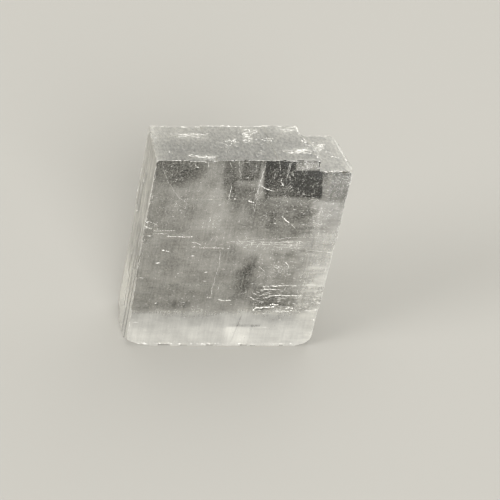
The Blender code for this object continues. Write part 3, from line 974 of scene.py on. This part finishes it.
# %% Chips along the long edges
# Each: face, start and end in that face's own mm, chips per mm, and the size of a chip.
RIM = 0.12
EDGE_RUNS = (
    ("top", (0.5, RIM), (36.5, RIM), 0.8, 0.12), ("top", (0.6, BACK - 0.3), (34.5, BACK - 0.3), 6, 0.4),
    ("top", (37.3, BACK - 0.95), (42.5, BACK - 0.95), 6, 0.4),
    ("top", (ACROSS - 1.1, 0), (ACROSS - 1.1, 16.6), 6, 0.36), ("top", (0.3, 0.5), (0.3, 17.5), 1.5, 0.18),
    ("front", (37, STEP_DROP + RIM), (44.2 - LEAN * STEP_DROP, STEP_DROP + RIM), 3, 0.28),
    ("front", (0.15, 0.4), (0.15 - LEAN * 26, 26), 2, 0.12), ("left", (0.15, 1), (0.15, 26), 2.5, 0.14),
    ("front", (44.6 - LEAN * 3.5, 3.5), (44.6 - LEAN * 43, 43), 5, 0.12),
    ("front", (44.0 - LEAN * 20, 20), (44.0 - LEAN * 43, 43), 2, 0.18),
    ("right", (0.2, 3.5), (0.2, 43), 4, 0.22), ("right", (BACK - 0.3, 4), (BACK - 0.3, 43), 4, 0.35),
    ("left", (BACK - 0.4, 1), (BACK - 0.4, 43), 6, 0.4), ("back", (0.4, 1), (0.4, 40), 3, 0.3),
    ("front", (2.0 - LEAN * DOWN, DOWN - 0.5), (41.0 - LEAN * DOWN, DOWN - 0.5), 3, 0.22),
    ("back", (ACROSS - 0.4, 4), (ACROSS - 0.4, 42), 4, 0.35), ("back", (1, 0.2), (34, 0.2), 3, 0.3),
)
rims = []
for face, start, end, crowd, size in EDGE_RUNS:
    edge_way = (ON_FACE[face](*end) - ON_FACE[face](*start)).normalized()
    for _ in range(round(math.dist(start, end) * crowd)):
        share = dice.random()
        spot = [a + share * (b - a) + dice.gauss(0.0, 0.10) for a, b in zip(start, end)]
        along = edge_way + 0.2 * any_way()
        chip = size * (0.3 + 0.9 * dice.random() ** 2)
        lay_chip(rims, face, spot, along, 3.0 * chip, 0.7 * chip, dice.uniform(0.4, 1.0))
print("chips along the long edges:", len(rims))

# %% Chips along every sharp edge
SHARP = math.radians(25.0)
CHIPS_PER_MM = 2.6


def is_lower_rear(edge):
    """True within about 2 mm of the lower edge at the back, which would show through the front."""
    middle = TO_CRYSTAL @ ((edge.verts[0].co + edge.verts[1].co) / 2.0 - BLUNT_CORNER)
    return middle.y > DOWN - 2.5 and middle.z > BACK - 2.0


def bruise(edge):
    """Crumbles one edge with thin chips that lie along it."""
    normal = (edge.link_faces[0].normal + edge.link_faces[1].normal).normalized()
    start, end = [vert.co for vert in edge.verts]
    length = edge.calc_length() / MM
    ledge_height = min(face.calc_area() for face in edge.link_faces) / (edge.calc_length() * MM)
    chance = min(1.0, 0.05 + 0.9 * ledge_height**2)
    for _ in range(max(1, round(length * CHIPS_PER_MM))):
        if dice.random() > chance:
            continue
        width = 0.06 + 0.16 * dice.random() ** 3
        spot = start.lerp(end, dice.random()) - normal * (0.2 * width * MM)
        along = (end - start).normalized() + 0.10 * any_way()
        long = min(length, dice.uniform(0.3, 1.1))
        lay_flat(rims, spot, normal, along, long, width, dice.uniform(0.1, 0.9))


mesh = bmesh.new()
mesh.from_mesh(crystal.data)
bmesh.ops.remove_doubles(mesh, verts=mesh.verts[:], dist=MERGE_GAP)
mesh.normal_update()
for edge in mesh.edges:
    if edge.is_manifold and edge.is_convex and edge.calc_face_angle() >= SHARP:
        if not is_lower_rear(edge):
            bruise(edge)
mesh.free()
print("chips with the sharp edges:", len(rims))

# %% [markdown]
# ## From notes to meshes
#
# So far the chips are only notes, and joining thousands of small objects would be slow. Geometry Nodes
# does it in one step: a diamond is set on each noted point, turned and sized by the point's attributes,
# and all of them are joined into one mesh.

# %% A diamond on every point
chip_maker = bpy.data.node_groups.new("chip_maker", "GeometryNodeTree")
for in_out in ("INPUT", "OUTPUT"):
    chip_maker.interface.new_socket("Geometry", in_out=in_out, socket_type="NodeSocketGeometry")
step = partial(add_node, chip_maker)
spots = step("NodeGroupInput")
diamond = step("GeometryNodeMeshUVSphere", {"Segments": 4, "Rings": 2, "Radius": 1.0})
VECTOR = ("GeometryNodeInputNamedAttribute", {"data_type": "FLOAT_VECTOR"})
turn, size = [step(VECTOR, {"Name": name}) for name in ("turn", "size")]
placing = {"Points": spots, "Instance": diamond, "Rotation": turn, "Scale": size}
joined = step("GeometryNodeRealizeInstances", (step("GeometryNodeInstanceOnPoints", placing),))
step("NodeGroupOutput", (step("GeometryNodeSetMaterial", {"Geometry": joined, "Material": lifted_chip}),))
print("nodes in the maker:", len(chip_maker.nodes))

# %% The three pieces made of chips
COLUMNS = (
    ("turn", "FLOAT_VECTOR", "vector"), ("size", "FLOAT_VECTOR", "vector"), ("glint", "FLOAT", "value"),
)


def make_piece(name, heap):
    """Turns noted chips into one piece that rides with the crystal."""
    data = bpy.data.meshes.new(name)
    data.from_pydata([row[0] for row in heap], [], [])
    for column, (title, kind, field) in enumerate(COLUMNS, start=1):
        values = [row[column] for row in heap]
        if field == "vector":
            values = [part for value in values for part in value]
        data.attributes.new(title, kind, "POINT").data.foreach_set(field, values)
    piece = place_object(name, data)
    piece.modifiers.new("chips", "NODES").node_group = chip_maker
    apply_modifiers(piece)
    piece.data.shade_flat()
    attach(piece, "root")
    print(name, "has", len(heap), "chips and", len(piece.data.polygons), "faces")


make_piece("cracks", marks)
make_piece("flecks", flecks)
make_piece("edge_bits", rims)

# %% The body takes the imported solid's place
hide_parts("calcite_crystal")
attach(crystal, "root")
print("pieces on the root body: 4")

# %% [markdown]
# ## Floor and light
#
# The floor is painted matt, so it shows no reflection and the crystal keeps its outline. Four suns with
# wide discs stand in for soft boxes, because an area lamp wouldn't light the floor evenly. The strongest
# one comes low from the front, and the low one behind brightens the far edges of the top.

# %% A matt floor
mesh = bmesh.new()
HALF_FLOOR = 12.0  # m
bmesh.ops.create_grid(mesh, x_segments=1, y_segments=1, size=HALF_FLOOR)
matt_paint = bpy.data.materials.new("floor_matt_paint")
matt_paint.use_nodes = True
paint_values = {"Base Color": srgb("#9a9893"), "Roughness": 1.0, "Specular IOR Level": 0.0}
set_inputs(matt_paint.node_tree.nodes["Principled BSDF"], paint_values)
floor = link_mesh("floor", mesh, matt_paint)
floor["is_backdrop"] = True
print("floor, m:", [round(side, 1) for side in floor.dimensions[:2]])

# %% Four soft lights
# Each: where it stands, how strong it is, and how wide it looks in degrees.
SOFT_LIGHTS = {
    "key": ((0.20, -0.75, 0.28), 6.3, 36.0),
    "fill": ((-0.60, -0.20, 0.23), 2.5, 36.0),
    "top": ((0.05, 0.40, 0.53), 1.1, 50.0),
    "rear": ((0.62, 0.66, 0.14), 1.5, 80.0),
}
for name, (where, strength, width) in SOFT_LIGHTS.items():
    lamp = bpy.data.lights.new(name, "SUN")
    lamp.energy = strength
    lamp.angle = math.radians(width)
    light = place_object(name, lamp)
    light.location = where
    light.rotation_euler = Vector(where).to_track_quat("Z", "Y").to_euler()

studio = bpy.data.worlds.new("studio")
studio.use_nodes = True
set_inputs(studio.node_tree.nodes["Background"], {"Color": srgb("#d3d2cb")})
bpy.context.scene.world = studio
print("lights:", list(SOFT_LIGHTS))

# %% [markdown]
# ## Camera
#
# The camera looks down on the crystal by 33 degrees, and is turned and rolled by less than one. Its
# three directions go into one matrix as columns. The Standard view transform keeps the whites bright,
# where a filmic one would grey them.

# %% Camera
LOOKS_DOWN, TURNED, ROLLED = (math.radians(angle) for angle in (33.18, -0.85, -0.35))
LENS = 73.16
STANDS_AT = Vector((23.8, -202.2, 108.2))  # mm from the blunt corner
ahead = Vector((math.sin(TURNED), math.cos(TURNED), 0.0)) * math.cos(LOOKS_DOWN)
ahead.z = -math.sin(LOOKS_DOWN)
level = Vector((math.cos(TURNED), -math.sin(TURNED), 0.0))
upright = level.cross(ahead)
right = level * math.cos(ROLLED) + upright * math.sin(ROLLED)
up = upright * math.cos(ROLLED) - level * math.sin(ROLLED)

camera_data = bpy.data.cameras.new("camera")
camera_data.sensor_width = 36.0
camera_data.lens = LENS
camera_data.clip_start = 0.01
camera = place_object("camera", camera_data)
looking = Matrix((right, up, -ahead)).transposed().to_4x4()
camera.matrix_world = Matrix.Translation(BLUNT_CORNER + STANDS_AT * MM) @ looking
bpy.context.scene.camera = camera
bpy.context.scene.view_settings.view_transform = "Standard"
print("camera, m:", [round(part, 3) for part in camera.matrix_world.translation])

# %% Sizes and finish
VISUAL_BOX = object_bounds()
boxes = {"cad": [list(corner) for corner in CAD_BOX], "visual": [list(corner) for corner in VISUAL_BOX]}
for name, (low, high) in boxes.items():
    print(name, "box, mm:", [round((b - a) / MM, 2) for a, b in zip(low, high)])
